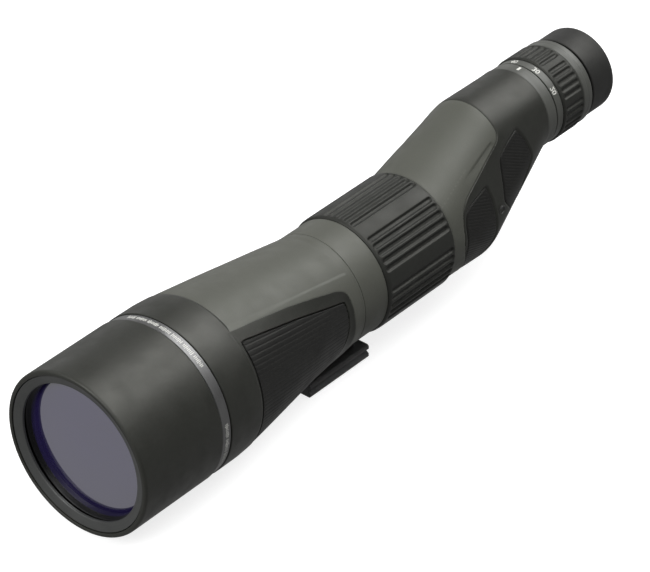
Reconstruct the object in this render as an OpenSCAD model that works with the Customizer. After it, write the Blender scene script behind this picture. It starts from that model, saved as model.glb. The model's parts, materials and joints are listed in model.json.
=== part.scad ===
// Straight spotting scope with a sliding hood, a barrel focus ring and a zoom eyepiece.
// Stations run backwards along the objective axis from the front rim of the hood.
// +Y runs from the target towards the eye, +X is the right-hand side and +Z is up.
// The origin is the mouth of the tripod socket, on the underside of the foot.

/* [Layout] */
// Height of the objective axis above the underside of the foot
axis_h = 53; // [52.5:0.5:58]
// Station of the tripod socket
foot_s = 201.5; // [200:0.5:203]
// Height of the eyepiece axis above the objective axis
eye_h = 34.4; // [34:0.1:35]

/* [Objective] */
// Outer radius of the hood
hood_r = 51.5; // [51.4:0.1:51.9]
// Station of the rear end of the hood
hood_back = 62; // [60:0.5:62]
// Radius of the hole in the front lip
lip_r = 42.6; // [42:0.1:43]
// Outer radius of the tube that the hood slides on
sleeve_r = 48.6; // [48.5:0.05:48.65]
// Edge radius of the objective lenses
lens_r = 43.9; // [43.5:0.1:44]
// Radius of curvature of the front glass
front_curve = 200; // [180:10:260]

/* [Barrel] */
// Thickness of the rubber armour
armour_t = 1.2; // [1:0.1:1.3]
// Thickness of the barrel casting
shell_t = 1.6; // [1.4:0.1:1.7]
// Radius of the barrel at its waist
waist_r = 36.9; // [36.8:0.1:37]
// Station where the barrel meets the front collar
waist_s = 202; // [201:0.5:202]
// Station where the front armour ends and the bare metal begins
bare_front = 97; // [95:1:100]

/* [Focus] */
// Station of the front edge of the focus ring
focus_front = 222.9; // [222.8:0.1:223.2]
// Station of the rear edge of the focus ring
focus_back = 284.2; // [283.8:0.1:284.6]
// Outer radius of the focus ring
focus_r = 38.2; // [37.8:0.1:38.5]
// Groups of grooves round the focus ring and round the zoom ring
groove_groups = 7; // [5:1:7]
// Grooves in each group
group_size = 5; // [3:1:5]
// Outer radius of the fixed tube inside the focus ring
guide_r = 33; // [33:0.05:33.1]
// Distance that the focus key moves each way
focus_travel = 12; // [8:1:12]
// Radius of the focus key
key_r = 2.2; // [2:0.1:2.4]

/* [Eyepiece] */
// Outer radius of the eyepiece tube
tube_r = 24; // [23.9:0.05:24]
// Bore radius of the eyepiece tube
tube_bore = 22; // [21.9:0.05:22]
// Outer radius of the zoom grip
zoom_r = 28.6; // [28:0.1:29]
// Outer radius of the eyecup
cup_r = 27.3; // [27:0.1:27.6]
// Station of the rear edge of the eyecup
cup_back = 453.5; // [453:0.5:456]

/* [Foot] */
// Width of the foot rail
foot_w = 37; // [34:1:40]
// Length of the foot rail
foot_len = 53; // [50:1:53]
// Thickness of the foot rail
foot_t = 9.3; // [9:0.1:10]
// Minor radius of the 1/4 inch tripod thread
thread_r = 2.55; // [2.5:0.01:2.6]

/* [Hidden] */
$fn = 96;

run_gap = 0.05;
seam = 0.3;
hood_skin_r = hood_r - 1;
hood_bore = hood_skin_r - 0.8;
hood_flange_s = 4;
lens_s = 14.6;
cell_r = sleeve_r - 2.2;
name_front = hood_back + 0.4;
name_back = 70;

shoulder_r = 51.3;
cone_s = 99;
cone_r = 50.2;
cone_end = waist_s - 2;
barrel_outline = [
    [shoulder_r, name_back + seam], [shoulder_r, 86], [50.8, 92],
    [cone_r, cone_s], [waist_r, cone_end], [waist_r, waist_s]
];
spigot_r = guide_r + 1;
collar_back = focus_front - 0.4;
shell_front = [cone_r - armour_t - shell_t, cone_s];
shell_back = [spigot_r, cone_end - 2];

focus_core_r = focus_r - 1.8;
seal_stations = [focus_front + 3.2, focus_back - 2.5];
key_s = (focus_front + focus_back) / 2 + 0.75;
carriage_r = guide_r - 2.5;

housing_front = focus_back + 0.4;
housing_wall = 3.7;
plate_s = 326.3;
plate_t = 5.4;
prism_half = 20.15;
prism_t = 16;
prism_shift = eye_h / 4;

neck_back = 385.7;
index_front = neck_back + seam;
index_back = 395;
scale_back = 401;
grip_back = 421.4;
core_back = 424.2;
end_back = 429.8;
cup_front = end_back + 2.2;
tube_back = 450;
zoom_pin_r = 1.2;
front_pin_s = 404.5;
front_pin_travel = 4.5;
rear_pin_s = 419.5;
rear_pin_travel = 3.5;

foot_front = 175;
screw_stations = [188, 215];
bush_len = 8.5;

olive = [0.25, 0.255, 0.23];
saddle_grey = [0.38, 0.385, 0.36];
soft_black = [0.07, 0.07, 0.07];
bare_silver = [0.68, 0.68, 0.68];
lens_blue = [0.45, 0.45, 0.62, 0.6];

// ---- helpers -------------------------------------------------------------------------

// Places children with local +Z along the axis, at a station and a height above the axis
module along(s = 0, h = 0) {
    translate([0, s - foot_s, axis_h + h]) rotate([-90, 0, 0]) children();
}

// Turns an outline of [radius, station] points about an axis at height h
module lathe(outline, h = 0) {
    along(0, h) rotate_extrude() polygon(outline);
}

// Plain ring between two stations
module ring(s0, s1, r_in, r_out, h = 0) {
    lathe([[r_in, s0], [r_out, s0], [r_out, s1], [r_in, s1]], h);
}

// Peg that points out from an axis at an angle from the top towards +X
module peg(s, h, angle, r0, r1, r) {
    along(s, h) rotate([0, 0, angle]) rotate([90, 0, 0]) translate([0, 0, r0])
        cylinder(r = r, h = r1 - r0);
}

// Slot through a tube wall, cut along the axis at an angle from the top towards +X
module wall_slot(s0, s1, h, angle, half_w, r0, r1) {
    along(s0, h) rotate([0, 0, angle]) translate([-half_w, -r1, 0])
        cube([2 * half_w, r1 - r0, s1 - s0]);
}

function reversed(list) = [for (i = [len(list) - 1 : -1 : 0]) list[i]];
function thinner(outline, d) = [for (p = outline) [p[0] - d, p[1]]];
function sag(curve, r) = curve - sqrt(curve * curve - r * r);
function bulge(curve, edge, r) =
    curve == 0 ? 0 : sign(curve) * (sag(abs(curve), edge) - sag(abs(curve), r));
function groove_angles(centre, pitch) =
    [for (g = [0 : groove_groups - 1], k = [0 : group_size - 1])
        centre + g * 360 / groove_groups + (k - (group_size - 1) / 2) * pitch];
function along_line(a, b, s) = a[0] + (b[0] - a[0]) * (s - a[1]) / (b[1] - a[1]);
function cone_radius(s) = along_line([cone_r, cone_s], [waist_r, cone_end], s);

// Lens between two edge stations: a positive curve bulges outwards, a negative one is hollow
module lens(edge, s0, s1, curve0, curve1, h = 0) {
    steps = 10;
    front = [for (i = [0 : steps]) let (r = edge * i / steps) [r, s0 - bulge(curve0, edge, r)]];
    back = [for (i = [steps : -1 : 0]) let (r = edge * i / steps) [r, s1 + bulge(curve1, edge, r)]];
    lathe(concat(front, back), h);
}

// Side view outline of [station, height] points, cut through one side of the scope
module side_cut(outline, side) {
    translate([side > 0 ? 8 : -68, 0, 0]) rotate([90, 0, 90]) linear_extrude(60)
        polygon([for (p = outline) [p[0] - foot_s, p[1] + axis_h]]);
}

// ---- hood ----------------------------------------------------------------------------

module hood_armour() {
    color(olive) lathe([
        [48.5, 0], [hood_r - 1.2, 0], [hood_r - 0.4, 0.35], [hood_r, 1.2],
        [hood_r, hood_back - 0.5], [hood_r - 0.4, hood_back], [hood_skin_r, hood_back],
        [hood_skin_r, hood_flange_s], [48.5, hood_flange_s]
    ]);
}

module hood_tube() {
    color("dimgray") lathe([
        [44.6, hood_flange_s], [hood_skin_r, hood_flange_s], [hood_skin_r, hood_back - 0.4],
        [hood_bore, hood_back - 0.4], [hood_bore, hood_flange_s + 1.6], [44.6, hood_flange_s + 1.6]
    ]);
}

module hood_lip_ring() {
    color("gray") lathe([
        [lip_r, 2.5], [48.3, 0.6], [48.3, hood_flange_s], [lip_r, hood_flange_s]
    ]);
}

module hood_glide_ring() {
    color("ivory") ring(50, 60, sleeve_r + run_gap, hood_bore);
}

// ---- objective -----------------------------------------------------------------------

module objective_tube() {
    stop_r = sleeve_r + 0.7;
    color(soft_black) lathe([
        [cell_r, 6], [stop_r, 6], [stop_r, 9.5], [sleeve_r, 9.5], [sleeve_r, 84], [cell_r, 84]
    ]);
}

module name_ring() {
    color(bare_silver) ring(name_front, name_back, sleeve_r, shoulder_r - 0.6);
}

module lens_retainer() {
    color(soft_black) lathe([
        [43.4, 6], [cell_r, 6], [cell_r, lens_s], [lens_r, lens_s], [40.7, lens_s - 0.9]
    ]);
}

module objective_oring() {
    color("black") along(28) rotate_extrude() translate([cell_r - 0.6, 0]) circle(r = 0.6, $fn = 24);
}

module objective_cell() {
    color(soft_black) lathe([
        [lens_r, lens_s], [cell_r, lens_s], [cell_r, 27.4], [cell_r - 1.2, 27.4],
        [cell_r - 1.2, 28.6], [cell_r, 28.6], [cell_r, 41], [41.5, 41], [41.5, 39.2], [lens_r, 39.2]
    ]);
}

module front_lens() {
    color(lens_blue) lens(lens_r, lens_s, lens_s + 5, front_curve, 400);
}

module lens_spacer() {
    color(soft_black) ring(lens_s + 5.3, lens_s + 7.8, 41.8, lens_r);
}

module rear_lens() {
    color(lens_blue) lens(lens_r, lens_s + 7.8, 38.8, -300, 500);
}

// ---- barrel --------------------------------------------------------------------------

// Side view outlines of the grip pads
side_pad_outline = [
    [98, 37], [101, 37.5], [145, 27.5], [183, 17.5], [186.5, 14.5], [187.5, 7], [187.5, -16],
    [181, -25], [150, -31], [106, -38], [99.5, -33], [97.5, -19], [97.5, 20]
];
lower_pad_outline = [
    [320.5, 26], [301, 20], [297.5, 12], [299, -12], [304, -25],
    [321, -23], [325.5, -9], [324.5, 4], [323.5, 16.5]
];
upper_pad_outline = [
    [356, 46.5], [345, 42.5], [336.5, 37.5], [335.5, 20],
    [334, 12], [345, -3], [352, 2], [366, 25], [362, 38]
];

// Where the metal of the barrel lies bare, behind the front armour
module bare_zone() {
    along(bare_front) cylinder(r = 60, h = waist_s - bare_front);
}

module barrel_shell() {
    inner = [[sleeve_r, name_back + seam], [sleeve_r, 84], shell_front, shell_back, [spigot_r, waist_s]];
    color(saddle_grey) {
        lathe(concat(thinner(barrel_outline, armour_t), reversed(inner)));
        difference() {
            intersection() {
                lathe(concat(barrel_outline, reversed(thinner(barrel_outline, armour_t + 0.5))));
                bare_zone();
            }
            side_cut(side_pad_outline, 1);
            side_cut(side_pad_outline, -1);
            pedestal_block();
        }
    }
}

module barrel_armour() {
    color(olive) difference() {
        lathe(concat(barrel_outline, reversed(thinner(barrel_outline, armour_t))));
        bare_zone();
    }
}

module side_pad(side) {
    color(soft_black) intersection() {
        lathe(concat(thinner(barrel_outline, seam), reversed(thinner(barrel_outline, armour_t))));
        side_cut(side_pad_outline, side);
    }
}

module side_pad_left() {
    side_pad(-1);
}

module side_pad_right() {
    side_pad(1);
}

// Rings that stop stray light inside the barrel
module light_baffles() {
    color("black") for (s = [104, 128, 156])
        ring(s, s + 1, 41 - 0.12 * (s - 20), along_line(shell_front, shell_back, s + 1.1));
}

module body_tube() {
    slot_reach = focus_travel + key_r + seam;
    color("dimgray") difference() {
        ring(186, housing_front + 4.3, carriage_r, guide_r);
        for (s = seal_stations) ring(s - 0.6, s + 0.6, guide_r - 1.1, guide_r + 1);
        wall_slot(key_s - slot_reach, key_s + slot_reach, 0, 0, key_r + seam, carriage_r - 2, guide_r + 2);
    }
}

module front_collar() {
    color(saddle_grey) lathe([
        [guide_r, 188], [spigot_r, 188], [spigot_r, waist_s + seam], [waist_r, waist_s + seam],
        [waist_r, collar_back], [guide_r, collar_back]
    ]);
}

module focus_seals() {
    color("black") for (s = seal_stations) along(s)
        rotate_extrude() translate([guide_r - 0.55, 0]) circle(r = 0.55, $fn = 24);
}

// ---- focus ---------------------------------------------------------------------------

module focus_ring_core() {
    recess = focus_travel + key_r + 2;
    color("dimgray") lathe([
        [guide_r + run_gap, focus_front], [focus_core_r, focus_front], [focus_core_r, focus_back],
        [guide_r + run_gap, focus_back], [guide_r + run_gap, key_s + recess],
        [guide_r + 2, key_s + recess], [guide_r + 2, key_s - recess],
        [guide_r + run_gap, key_s - recess]
    ]);
}

module focus_ring_grip() {
    color(olive) difference() {
        ring(focus_front + 0.1, focus_back - 0.1, focus_core_r, focus_r);
        for (a = groove_angles(47, 7.6))
            wall_slot(focus_front + 2.5, focus_back - 1.6, 0, a, 1.3, focus_r - 1.1, focus_r + 2);
    }
}

module focus_carriage() {
    color("dimgray") difference() {
        ring(key_s - 10, key_s + 10, carriage_r - 6, carriage_r - run_gap);
        peg(key_s, 0, 0, carriage_r - 4, carriage_r + 2, key_r);
    }
}

module focus_lens() {
    color(lens_blue) lens(carriage_r - 6, key_s - 4, key_s + 4, -120, -160);
}

module focus_key() {
    color("goldenrod") peg(key_s, 0, 0, carriage_r - 4, guide_r + 1.6, key_r);
}

// ---- prism housing -------------------------------------------------------------------

// One round section of the housing
module housing_disc(s, h, r) {
    along(s, h) cylinder(r = r, h = 0.01, $fn = 48);
}

// Outside of the housing, shrunk by d
module housing_body(d) {
    hull() {
        housing_disc(housing_front, 0, waist_r - d);
        housing_disc(326, 0, 37.5 - d);
        housing_disc(340, eye_h, 28.3 - d);
        housing_disc(neck_back, eye_h, 28 - d);
    }
}

// Hollow of the housing
module housing_hollow() {
    hull() {
        housing_disc(housing_front + 4.3, 0, waist_r - housing_wall);
        housing_disc(326, 0, 37.5 - housing_wall);
        housing_disc(340, eye_h, 28.3 - housing_wall);
        housing_disc(371, eye_h, 28 - housing_wall);
    }
}

// Side view of the part of the housing that the armour covers
module armour_zone() {
    outline = [
        [340.5, 75], [340.5, 48.5], [299, 24], [295, 13.5], [294.5, 0],
        [300, -19], [302, -45], [400, -45], [400, 75]
    ];
    translate([-60, 0, 0]) rotate([90, 0, 90]) linear_extrude(120)
        polygon([for (p = outline) [p[0] - foot_s, p[1] + axis_h]]);
}

module purge_hole(r) {
    translate([0, 312 - foot_s, axis_h - 45]) cylinder(r = r, h = 13);
}

module prism_housing() {
    color(saddle_grey) difference() {
        union() {
            housing_body(armour_t);
            difference() {
                housing_body(0);
                armour_zone();
            }
        }
        housing_hollow();
        along(housing_front - 1) cylinder(r = guide_r, h = 6);
        along(370, eye_h) cylinder(r = tube_r, h = 20);
        purge_hole(2.6);
    }
}

module housing_armour() {
    color(olive) difference() {
        intersection() {
            housing_body(0);
            armour_zone();
        }
        housing_body(armour_t);
        for (side = [-1, 1]) {
            side_cut(lower_pad_outline, side);
            side_cut(upper_pad_outline, side);
        }
        badge_discs(4);
        purge_hole(3.2);
    }
}

module housing_pads(side) {
    color(soft_black) intersection() {
        difference() {
            housing_body(seam);
            housing_body(armour_t - 0.05);
        }
        union() {
            side_cut(lower_pad_outline, side);
            side_cut(upper_pad_outline, side);
        }
    }
}

module housing_pads_left() {
    housing_pads(-1);
}

module housing_pads_right() {
    housing_pads(1);
}

// Blank round badges, one on each side
module badge_discs(h) {
    for (side = [-1, 1])
        translate([side * 35.8, 330 - foot_s, axis_h + 7]) rotate([0, side * 90, 0])
            cylinder(r = 3, h = h);
}

module badges() {
    color("dimgray") badge_discs(1.2);
}

module prism() {
    rotate([90, 0, 0]) linear_extrude(prism_t, center = true)
        polygon([[-prism_half, 0], [prism_half, 0], [0, prism_half]]);
}

module front_prism() {
    color(lens_blue) along(plate_s, 3 * prism_shift) translate([prism_shift, 0, 0])
        rotate([0, 0, 45]) mirror([0, 0, 1]) prism();
}

module rear_prism() {
    color(lens_blue) along(plate_s + plate_t, prism_shift) translate([prism_shift, 0, 0])
        rotate([0, 0, -45]) prism();
}

module prism_plate() {
    color("dimgray") difference() {
        union() {
            along(plate_s, 3) cylinder(r = 30, h = plate_t);
            along(plate_s, 30) cylinder(r = 18, h = plate_t);
            along(plate_s) linear_extrude(plate_t) polygon([[-28, -3], [-17.5, -30], [17.5, -30], [28, -3]]);
        }
        along(plate_s - 1) cylinder(r = 8, h = plate_t + 2);
        along(plate_s - 1, eye_h) cylinder(r = 8, h = plate_t + 2);
        along(plate_s - 1, eye_h / 2) translate([eye_h / 2, 0, 0]) cylinder(r = 8, h = plate_t + 2);
    }
}

// Sprung strap that holds a prism against the plate
module prism_clip() {
    leg_x = prism_t / 2 + 0.2;
    translate([-3, -leg_x - 1, prism_half + 0.1]) cube([6, 2 * leg_x + 2, 1]);
    for (y = [-leg_x - 1, leg_x]) translate([-3, y, 0]) cube([6, 1, prism_half + 1.1]);
}

module prism_clips() {
    color("silver") {
        along(plate_s, 3 * prism_shift) translate([prism_shift, 0, 0])
            rotate([0, 0, 45]) mirror([0, 0, 1]) prism_clip();
        along(plate_s + plate_t, prism_shift) translate([prism_shift, 0, 0])
            rotate([0, 0, -45]) prism_clip();
    }
}

// ---- eyepiece ------------------------------------------------------------------------

module eyepiece_tube() {
    slot_w = zoom_pin_r + seam;
    color("dimgray") difference() {
        ring(372, tube_back, tube_bore, tube_r, eye_h);
        ring(434, 437, tube_r - 1.1, tube_r + 1, eye_h);
        for (a = [0, 180])
            wall_slot(front_pin_s - slot_w, front_pin_s + front_pin_travel + slot_w,
                eye_h, a, slot_w, tube_bore - 2, tube_r + 2);
        for (a = [90, 270])
            wall_slot(rear_pin_s - rear_pin_travel - slot_w, rear_pin_s + slot_w,
                eye_h, a, slot_w, tube_bore - 2, tube_r + 2);
    }
}

module index_ring() {
    color(saddle_grey) difference() {
        ring(index_front, index_back, tube_r, 27.8, eye_h);
        peg(391.1, eye_h, 0, 27.3, 29, 0.9);
    }
}

module index_mark() {
    color("white") peg(391.1, eye_h, 0, 27.3, 27.85, 0.9);
}

module field_lens() {
    color(lens_blue) lens(16, 376.5, 381.5, 90, 0, eye_h);
}

module field_stop() {
    color(soft_black) lathe([
        [16, 376.5], [tube_bore, 376.5], [tube_bore, 388], [12, 388], [12, 386.5], [16, 381.6]
    ], eye_h);
}

module zoom_scale_ring() {
    color(saddle_grey) ring(index_back + seam, scale_back, tube_r + run_gap, 27.6, eye_h);
}

module zoom_ring_core() {
    color("dimgray") lathe([
        [tube_r + run_gap, scale_back], [27, scale_back], [27, core_back], [tube_r + run_gap, core_back],
        [tube_r + run_gap, core_back - 2], [25.9, core_back - 2],
        [25.9, scale_back + 1.8], [tube_r + run_gap, scale_back + 1.8]
    ], eye_h);
}

module zoom_ring_grip() {
    color(olive) difference() {
        ring(scale_back + 0.3, grip_back - 0.2, 27, zoom_r, eye_h);
        for (a = groove_angles(47.5, 9.1))
            wall_slot(scale_back + 1.8, grip_back - 1.4, eye_h, a, 1.1, zoom_r - 1, zoom_r + 2);
    }
}

module zoom_end_ring() {
    color(saddle_grey) lathe([
        [27, grip_back], [28.2, grip_back], [28.2, end_back], [tube_r + run_gap, end_back],
        [tube_r + run_gap, core_back], [27, core_back]
    ], eye_h);
}

// Lens cell with two cam pins
module zoom_cell(pin_s, angles) {
    color("dimgray") union() {
        ring(pin_s - 3, pin_s + 3, 13, tube_bore - run_gap, eye_h);
        for (a = angles) peg(pin_s, eye_h, a, 18, 25.4, zoom_pin_r);
    }
}

module zoom_front_cell() {
    zoom_cell(front_pin_s, [0, 180]);
}

module zoom_front_lens() {
    color(lens_blue) lens(13, front_pin_s - 1.2, front_pin_s + 1.2, 60, 60, eye_h);
}

module zoom_rear_cell() {
    zoom_cell(rear_pin_s, [90, 270]);
}

module zoom_rear_lens() {
    color(lens_blue) lens(13, rear_pin_s - 1.2, rear_pin_s + 1.2, 60, 60, eye_h);
}

module eye_lens() {
    color(lens_blue) lens(18, 436, 441, 0, 55, eye_h);
}

module eye_lens_cell() {
    color(soft_black) lathe([
        [15.5, 433.5], [tube_bore, 433.5], [tube_bore, tube_back], [19.5, tube_back],
        [18, 445], [18, 436], [15.5, 436]
    ], eye_h);
}

module eyecup_key_ring() {
    color("goldenrod") ring(434.3, 436.7, tube_r - 1.05, tube_r - run_gap, eye_h);
}

module eyecup_sleeve() {
    color("dimgray") ring(cup_front, tube_back - 0.5, tube_r + run_gap, 25.2, eye_h);
}

module eyecup_rubber() {
    color(soft_black) lathe([
        [25.2, cup_front], [cup_r, cup_front], [cup_r, cup_back - 1.6], [cup_r - 0.5, cup_back - 0.5],
        [cup_r - 1.6, cup_back], [20.6, cup_back], [19.6, cup_back - 1], [19.6, tube_back + 0.3],
        [25.2, tube_back + 0.3]
    ], eye_h);
}

// ---- foot ----------------------------------------------------------------------------

module pedestal_block() {
    translate([-12, 184 - foot_s, foot_t]) cube([24, 37, axis_h - foot_t - 30]);
}

module foot_pedestal() {
    seat = concat([[0, 160]], [[cone_radius(160) - armour_t, 160]],
        [[waist_r - armour_t, cone_end], [waist_r - armour_t, waist_s], [waist_r, waist_s],
         [waist_r, 224], [0, 224]]);
    color(soft_black) difference() {
        pedestal_block();
        lathe(seat);
        for (s = screw_stations) translate([0, s - foot_s, foot_t - 1]) cylinder(r = 2, h = 5);
    }
}

module mount_foot() {
    half = foot_w / 2;
    notch = 2.2;
    color(soft_black) difference() {
        translate([0, foot_front + foot_len - foot_s, 0]) rotate([90, 0, 0]) linear_extrude(foot_len)
            polygon([
                [-half + 1, 0], [half - 1, 0], [half, 1], [half, foot_t * 0.32], [half - notch, foot_t * 0.5],
                [half, foot_t * 0.68], [half, foot_t - 1], [half - 1, foot_t],
                [-half + 1, foot_t], [-half, foot_t - 1], [-half, foot_t * 0.68],
                [-half + notch, foot_t * 0.5], [-half, foot_t * 0.32], [-half, 1]
            ]);
        translate([0, 0, -1]) cylinder(r = 5, h = bush_len + 1);
        for (s = screw_stations) translate([0, s - foot_s, -1]) {
            cylinder(r = 3.8, h = 5.6);
            cylinder(r = 2.2, h = foot_t + 2);
        }
    }
}

module foot_screws() {
    color("silver") for (s = screw_stations) translate([0, s - foot_s, 0]) difference() {
        union() {
            translate([0, 0, 1]) cylinder(r = 3.5, h = 3.6);
            translate([0, 0, 4.6]) cylinder(r = 2, h = foot_t - 1);
        }
        translate([0, 0, 0]) cylinder(r = 1.7, h = 3, $fn = 6);
    }
}

module tripod_bush() {
    color("goldenrod") difference() {
        cylinder(r = 5, h = bush_len);
        translate([0, 0, -1]) cylinder(r = thread_r, h = bush_len + 2);
    }
}

module purge_screw() {
    color("silver") difference() {
        translate([0, 312 - foot_s, axis_h - 37]) cylinder(r = 2.6, h = 3.3);
        translate([0, 312 - foot_s, axis_h - 38]) cylinder(r = 1.2, h = 2, $fn = 6);
    }
}

hood_armour();
hood_tube();
hood_lip_ring();
hood_glide_ring();
objective_tube();
name_ring();
lens_retainer();
objective_oring();
objective_cell();
front_lens();
lens_spacer();
rear_lens();
barrel_shell();
barrel_armour();
side_pad_left();
side_pad_right();
light_baffles();
body_tube();
front_collar();
focus_seals();
focus_ring_core();
focus_ring_grip();
focus_carriage();
focus_lens();
focus_key();
prism_housing();
housing_armour();
housing_pads_left();
housing_pads_right();
badges();
front_prism();
rear_prism();
prism_plate();
prism_clips();
eyepiece_tube();
index_ring();
index_mark();
field_lens();
field_stop();
zoom_scale_ring();
zoom_ring_core();
zoom_ring_grip();
zoom_end_ring();
zoom_front_cell();
zoom_front_lens();
zoom_rear_cell();
zoom_rear_lens();
eye_lens();
eye_lens_cell();
eyecup_key_ring();
eyecup_sleeve();
eyecup_rubber();
foot_pedestal();
mount_foot();
foot_screws();
tripod_bush();
purge_screw();
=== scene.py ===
"""Spotting scope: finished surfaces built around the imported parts.

Stations s run back from the front rim of the hood and heights z run up from the axis of the
barrel, both in millimetres. Angles run from the top of a round part towards +X.
"""

import json
import math

import bmesh
import bpy
import numpy as np
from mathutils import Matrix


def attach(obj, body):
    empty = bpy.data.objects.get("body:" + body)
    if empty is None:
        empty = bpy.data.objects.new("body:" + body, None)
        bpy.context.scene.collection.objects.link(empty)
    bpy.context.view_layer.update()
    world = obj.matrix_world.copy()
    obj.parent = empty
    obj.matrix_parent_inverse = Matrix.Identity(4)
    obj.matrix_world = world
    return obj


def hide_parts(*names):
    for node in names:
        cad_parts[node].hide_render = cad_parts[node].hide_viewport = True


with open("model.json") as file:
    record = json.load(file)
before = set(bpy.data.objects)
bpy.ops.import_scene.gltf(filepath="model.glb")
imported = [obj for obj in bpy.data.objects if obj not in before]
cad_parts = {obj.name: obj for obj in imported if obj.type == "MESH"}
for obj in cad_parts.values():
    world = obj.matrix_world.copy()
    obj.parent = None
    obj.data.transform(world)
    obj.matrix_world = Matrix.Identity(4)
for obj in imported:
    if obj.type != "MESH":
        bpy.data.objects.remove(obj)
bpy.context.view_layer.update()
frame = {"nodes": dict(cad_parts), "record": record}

MM = 0.001
FOOT_S = 201.5  # station of the tripod socket, where the frame has its origin
AXIS_H = 53.0  # height of the barrel's axis over the socket's mouth
EYE_H = 34.4  # height of the eyepiece's axis over the barrel's axis
FULL_TURN = 2 * math.pi
CREASE_DEGREES = 40  # edges sharper than this are shaded crisp
CENTRE_R = 0.01  # radius at which the middle of a disc is closed
SIDES = (("left", -1), ("right", 1))


# ---- numbers and outlines ------------------------------------------------------------


def smooth(t):
    """0 below 0, 1 above 1, and an S curve between."""
    t = np.clip(t, 0, 1)
    return t * t * (3 - 2 * t)


def mix(a, b, t):
    return a + (b - a) * t


def rounded(chain, closed=False, steps=5):
    """Points (a, b) or (a, b, size): a corner with a size is cut back by it and curved."""
    points = [tuple(p) + (0,) * (3 - len(p)) for p in chain]
    count, out = len(points), []
    for i, (a, b, size) in enumerate(points):
        here = np.array((a, b), float)
        if size == 0 or (not closed and i in (0, count - 1)):
            out.append(here)
            continue
        before = np.array(points[i - 1][:2], float) - here
        after = np.array(points[(i + 1) % count][:2], float) - here
        start = here + before * min(0.5, size / np.linalg.norm(before))
        end = here + after * min(0.5, size / np.linalg.norm(after))
        for t in np.linspace(0, 1, steps):
            out.append((1 - t) ** 2 * start + 2 * t * (1 - t) * here + t * t * end)
    return np.array(out)


def dense(chain, step):
    """The same chain, with points added so that no gap is longer than step."""
    out = [chain[0]]
    for a, b in zip(chain[:-1], chain[1:]):
        n = max(1, math.ceil(np.linalg.norm(b - a) / step))
        out.extend(a + (b - a) * k / n for k in range(1, n + 1))
    return np.array(out)


def inside_by(a, b, outline):
    """How far each point (a, b) is inside a closed outline; negative outside."""
    near = np.full(np.shape(a), 1e9)
    inside = np.zeros(np.shape(a), bool)
    for (a0, b0), (a1, b1) in zip(outline, np.roll(outline, -1, axis=0)):
        da, db = a1 - a0, b1 - b0
        length2 = da * da + db * db
        if length2 < 1e-12:
            continue
        t = np.clip(((a - a0) * da + (b - b0) * db) / length2, 0, 1)
        near = np.minimum(near, np.hypot(a - a0 - t * da, b - b0 - t * db))
        if db != 0:
            crosses = ((b0 > b) != (b1 > b)) & (a < (b - b0) * da / db + a0)
            inside ^= crosses
    return np.where(inside, near, -near)


# ---- meshes --------------------------------------------------------------------------


def quads(rows, cols, wrap_rows=False, wrap_cols=False):
    """Faces of a grid of points, seen from outside when rows run back and columns run right."""
    i = np.arange(rows if wrap_rows else rows - 1)[:, None]
    j = np.arange(cols if wrap_cols else cols - 1)[None, :]
    i1, j1 = (i + 1) % rows, (j + 1) % cols
    corners = [i * cols + j, i * cols + j1, i1 * cols + j1, i1 * cols + j]
    return np.stack([np.broadcast_to(c, (i.size, j.size)) for c in corners], -1).reshape(-1, 4)


def place(name, mesh, finish, body, slot, replaced=()):
    """Puts a mesh in the scene with its finish, riding on a body."""
    mesh.materials.clear()
    mesh.materials.append(finish)
    piece = bpy.data.objects.new(name, mesh)
    bpy.context.scene.collection.objects.link(piece)
    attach(piece, body)
    if replaced:
        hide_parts(*replaced)


def add_piece(name, points, faces, finish, body, slot, replaced=()):
    """A closed mesh from points (x, s, z) in mm and four-sided faces, riding on a body."""
    at = np.array(points, float).reshape(-1, 3)
    at[:, 1] -= FOOT_S
    at[:, 2] += AXIS_H
    mesh = bpy.data.meshes.new(name)
    mesh.vertices.add(len(at))
    mesh.vertices.foreach_set("co", (at * MM).astype(np.float32).ravel())
    mesh.loops.add(4 * len(faces))
    mesh.loops.foreach_set("vertex_index", faces.astype(np.int32).ravel())
    mesh.polygons.add(len(faces))
    mesh.polygons.foreach_set("loop_start", np.arange(0, 4 * len(faces), 4, dtype=np.int32))
    mesh.update(calc_edges=True)
    mesh.validate()
    mesh.shade_smooth()
    mesh.set_sharp_from_angle(angle=math.radians(CREASE_DEGREES))
    place(name, mesh, finish, body, slot, replaced)


def revolve(name, outer, inner, finish, body, slot, replaced=(), cols=256, step=4.0,
            relief=None, axis=0.0):
    """A ring turned from (r, s) chains: outer runs back, inner runs forward again.

    relief(s, angle) is added to the radius of the outer chain.
    """
    out = dense(rounded(outer), step)
    chain = np.vstack([out, rounded(inner)])
    angle = np.linspace(0, FULL_TURN, cols, endpoint=False)[None, :]
    r = np.repeat(chain[:, :1], cols, axis=1)
    s = np.repeat(chain[:, 1:2], cols, axis=1)
    if relief is not None:
        r[: len(out)] += relief(s[: len(out)], angle + 0 * r[: len(out)])
    points = np.stack([r * np.sin(angle), s, axis + r * np.cos(angle)], -1)
    faces = quads(len(chain), cols, True, True)
    add_piece(name, points, faces, finish, body, slot, replaced)


def slab(name, top, bottom, finish, body, slot, replaced=()):
    """A closed sheet between two grids of points that have the same shape."""
    rows, cols = top.shape[:2]
    loop = np.concatenate([top, bottom[:, ::-1]], axis=1)
    wide = 2 * cols
    faces = quads(rows, wide, False, True)
    j = np.arange(cols - 1)
    front = np.stack([j, wide - 1 - j, wide - 2 - j, j + 1], -1)
    back = front[:, ::-1] + (rows - 1) * wide
    add_piece(name, loop, np.vstack([faces, front, back]), finish, body, slot, replaced)


# ---- materials -----------------------------------------------------------------------


def srgb(red, green, blue):
    def linear(v):
        v /= 255
        return v / 12.92 if v <= 0.04045 else ((v + 0.055) / 1.055) ** 2.4

    return (linear(red), linear(green), linear(blue), 1.0)


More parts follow.
